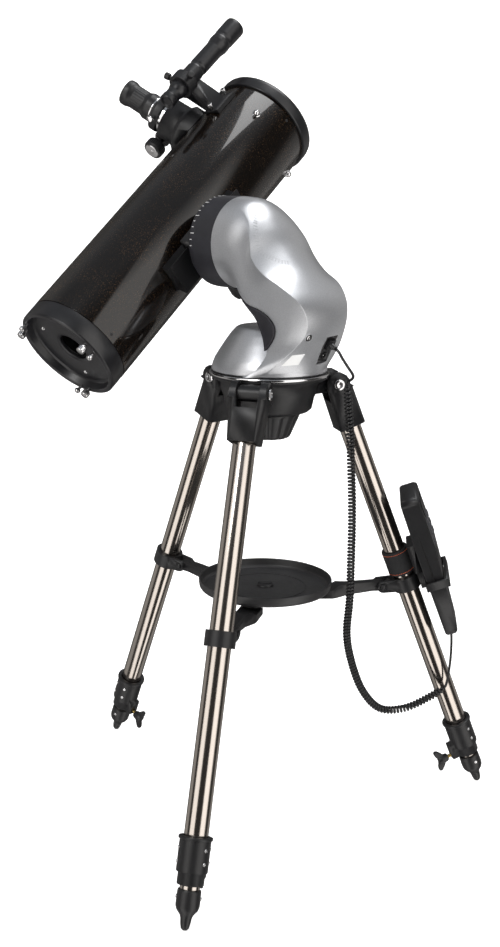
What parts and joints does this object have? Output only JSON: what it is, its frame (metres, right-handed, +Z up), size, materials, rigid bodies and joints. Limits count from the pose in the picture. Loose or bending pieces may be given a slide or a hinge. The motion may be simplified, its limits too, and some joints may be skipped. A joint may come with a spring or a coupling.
{
  "type": "telescope",
  "caption": "Newtonian reflector telescope on a single-arm motorised mount and folding steel tripod, with tray, finder, eyepiece and corded hand controller.",
  "frame": {"origin": "on the floor under the middle of the telescope's box, the cord left out", "axes": "+Z up; the front leg points towards -Y and the right leg towards +X"},
  "size_m": [0.6202, 0.6326, 1.0327],
  "materials": {
    "moulded_black": "injection moulded, fine texture",
    "tray_plastic": "injection moulded, fine texture",
    "satin_plastic": "smooth satin",
    "silver_shell": "silver metallic paint on plastic",
    "tube_gloss": "gloss black with fine metallic flake",
    "leg_steel": "polished along the tube",
    "bright_steel": "bright plated",
    "silvered_glass": "optical mirror",
    "gear_brass": "machined",
    "key_rubber": "soft moulded",
    "cord_rubber": "smooth cord sheath",
    "strap_webbing": "woven strap with a stitched edge"
  },
  "bodies": {
    "root": {"tripod_head": "moulded_black", "azimuth_gear": "gear_brass", "hinge_bolt_front": "bright_steel", "hinge_bolt_right": "bright_steel", "hinge_bolt_left": "bright_steel", "cord_lead_top": "cord_rubber", "cord_curl": "cord_rubber", "cord_lead_bottom": "cord_rubber"},
    "lock_knob": {"mount_lock_knob": "moulded_black"},
    "leg_front": {"leg_bracket_front": "moulded_black", "leg_tube_front": "leg_steel", "ring_clamp_front": "moulded_black", "leg_collar_front": "moulded_black"},
    "arm_front": {"spreader_arm_front": "moulded_black"},
    "foot_front": {"inner_leg_front": "leg_steel"},
    "wing_front": {"wing_knob_front": "moulded_black"},
    "leg_right": {"leg_bracket_right": "moulded_black", "leg_tube_right": "leg_steel", "ring_clamp_right": "moulded_black", "leg_collar_right": "moulded_black", "leg_strap": "strap_webbing", "handset_holder": "moulded_black", "handset_body": "moulded_black"},
    "arm_right": {"spreader_arm_right": "moulded_black"},
    "foot_right": {"inner_leg_right": "leg_steel"},
    "wing_right": {"wing_knob_right": "moulded_black"},
    "leg_left": {"leg_bracket_left": "moulded_black", "leg_tube_left": "leg_steel", "ring_clamp_left": "moulded_black", "leg_collar_left": "moulded_black"},
    "arm_left": {"spreader_arm_left": "moulded_black"},
    "foot_left": {"inner_leg_left": "leg_steel"},
    "wing_left": {"wing_knob_left": "moulded_black"},
    "keypad": {"handset_keypad": "key_rubber"},
    "tray": {"spreader_hub": "moulded_black", "accessory_tray": "tray_plastic"},
    "latch": {"tray_latch": "moulded_black"},
    "azimuth_head": {"base_housing": "silver_shell", "arm_shell_left": "silver_shell", "arm_shell_right": "silver_shell", "arm_inner_panel": "satin_plastic", "port_panel": "satin_plastic", "handset_plug": "cord_rubber", "altitude_motor": "bright_steel"},
    "tube_body": {"altitude_drum": "satin_plastic", "saddle_clamp": "moulded_black", "dovetail_bar": "moulded_black", "main_tube": "tube_gloss", "front_ring": "satin_plastic", "rear_ring": "satin_plastic", "primary_mirror": "silvered_glass", "secondary_holder": "moulded_black", "secondary_mirror": "silvered_glass", "focuser_base": "moulded_black", "finder_scope": "satin_plastic", "finder_bracket": "moulded_black"},
    "saddle_screw": {"saddle_knob": "moulded_black"},
    "drawtube_body": {"drawtube": "bright_steel", "eyepiece": "moulded_black"},
    "focus_knobs": {"focus_shaft": "moulded_black"}
  },
  "joints": [
    {"name": "leg_fold_front", "type": "hinge", "parent": "root", "child": "leg_front", "pos_m": [-0.0198, -0.09003, 0.57111], "axis": [0.9655, -0.2605, 0], "range_deg": [0, 14], "deforming": ["cord_lead_top", "cord_curl", "cord_lead_bottom"]},
    {"name": "leg_fold_right", "type": "hinge", "parent": "root", "child": "leg_right", "pos_m": [0.08362, 0.01303, 0.57111], "axis": [-0.2571, 0.9664, 0], "range_deg": [0, 14], "deforming": ["cord_lead_top", "cord_curl", "cord_lead_bottom"]},
    {"name": "leg_fold_left", "type": "hinge", "parent": "root", "child": "leg_left", "pos_m": [-0.05735, 0.05107, 0.57111], "axis": [-0.7083, -0.7059, 0], "range_deg": [0, 14]},
    {"name": "arm_swing_front", "type": "hinge", "parent": "leg_front", "child": "arm_front", "pos_m": [-0.03909, -0.1615, 0.29792], "axis": [0.9655, -0.2605, 0], "range_deg": [0, 42.2]},
    {"name": "arm_swing_right", "type": "hinge", "parent": "leg_right", "child": "arm_right", "pos_m": [0.15516, 0.03207, 0.29792], "axis": [-0.2571, 0.9664, 0], "range_deg": [0, 42.2]},
    {"name": "arm_swing_left", "type": "hinge", "parent": "leg_left", "child": "arm_left", "pos_m": [-0.1096, 0.1035, 0.29792], "axis": [-0.7083, -0.7059, 0], "range_deg": [0, 42.2]},
    {"name": "leg_extend_front", "type": "slide", "parent": "leg_front", "child": "foot_front", "axis": [-0.0978, -0.3625, -0.9269], "range_m": [0, 0.37]},
    {"name": "wing_turn_front", "type": "hinge", "parent": "leg_front", "child": "wing_front", "pos_m": [-0.06984, -0.27547, 0.04363], "axis": [-0.2414, -0.8949, 0.3754], "range_deg": [0, 270]},
    {"name": "leg_extend_right", "type": "slide", "parent": "leg_right", "child": "foot_right", "axis": [0.3628, 0.0965, -0.9269], "range_m": [0, 0.37]},
    {"name": "wing_turn_right", "type": "hinge", "parent": "leg_right", "child": "wing_right", "pos_m": [0.26924, 0.06242, 0.04363], "axis": [0.8957, 0.2383, 0.3754], "range_deg": [0, 270]},
    {"name": "leg_extend_left", "type": "slide", "parent": "leg_left", "child": "foot_left", "axis": [-0.265, 0.2659, -0.9269], "range_m": [0, 0.37]},
    {"name": "wing_turn_left", "type": "hinge", "parent": "leg_left", "child": "wing_left", "pos_m": [-0.19292, 0.18712, 0.04363], "axis": [-0.6542, 0.6565, 0.3754], "range_deg": [0, 270]},
    {"name": "tray_lift", "type": "slide", "parent": "root", "child": "tray", "axis": [0, 0, 1], "range_m": [0, 0.087]},
    {"name": "tray_latch_turn", "type": "hinge", "parent": "tray", "child": "latch", "pos_m": [0.00216, -0.00864, 0.30641], "axis": [0, 0, 1], "range_deg": [0, 90]},
    {"name": "lock_knob_turn", "type": "hinge", "parent": "root", "child": "lock_knob", "pos_m": [0.00216, -0.00864, 0.54041], "axis": [0, 0, 1], "range_deg": [0, 360]},
    {"name": "azimuth", "type": "hinge", "parent": "root", "child": "azimuth_head", "pos_m": [0.00216, -0.00864, 0.59041], "axis": [0, 0, 1], "continuous": true},
    {"name": "altitude", "type": "hinge", "parent": "azimuth_head", "child": "tube_body", "pos_m": [0.00216, -0.00864, 0.74171], "axis": [0.7363, -0.6766, 0], "range_deg": [-45, 36]},
    {"name": "saddle_screw_turn", "type": "hinge", "parent": "tube_body", "child": "saddle_screw", "pos_m": [-0.04768, 0.08935, 0.69563], "axis": [-0.4334, -0.4716, 0.7679], "range_deg": [0, 360]},
    {"name": "focus_turn", "type": "hinge", "parent": "tube_body", "child": "focus_knobs", "pos_m": [-0.14478, 0.25289, 0.87982], "axis": [0.5196, 0.5655, 0.6405], "range_deg": [-180, 180]},
    {"name": "focus_travel", "type": "slide", "parent": "tube_body", "child": "drawtube_body", "axis": [-0.8408, 0.2054, 0.5008], "range_m": [-0.0157, 0.0157]},
    {"name": "key_press", "type": "slide", "parent": "leg_right", "child": "keypad", "axis": [-0.9296, 0.1066, -0.3528], "range_m": [0, 0.001], "stiffness_N_per_m": 400}
  ],
  "couplings": [
    {"joint": "leg_fold_right", "follows": "leg_fold_front", "ratio": 1},
    {"joint": "leg_fold_left", "follows": "leg_fold_front", "ratio": 1},
    {"joint": "arm_swing_front", "follows": "leg_fold_front", "ratio": 2.986},
    {"joint": "arm_swing_right", "follows": "leg_fold_front", "ratio": 2.986},
    {"joint": "arm_swing_left", "follows": "leg_fold_front", "ratio": 2.986},
    {"joint": "tray_lift", "follows": "leg_fold_front", "m_per_rad": 0.35196},
    {"joint": "focus_turn", "follows": "focus_travel", "rad_per_m": 200}
  ]
}
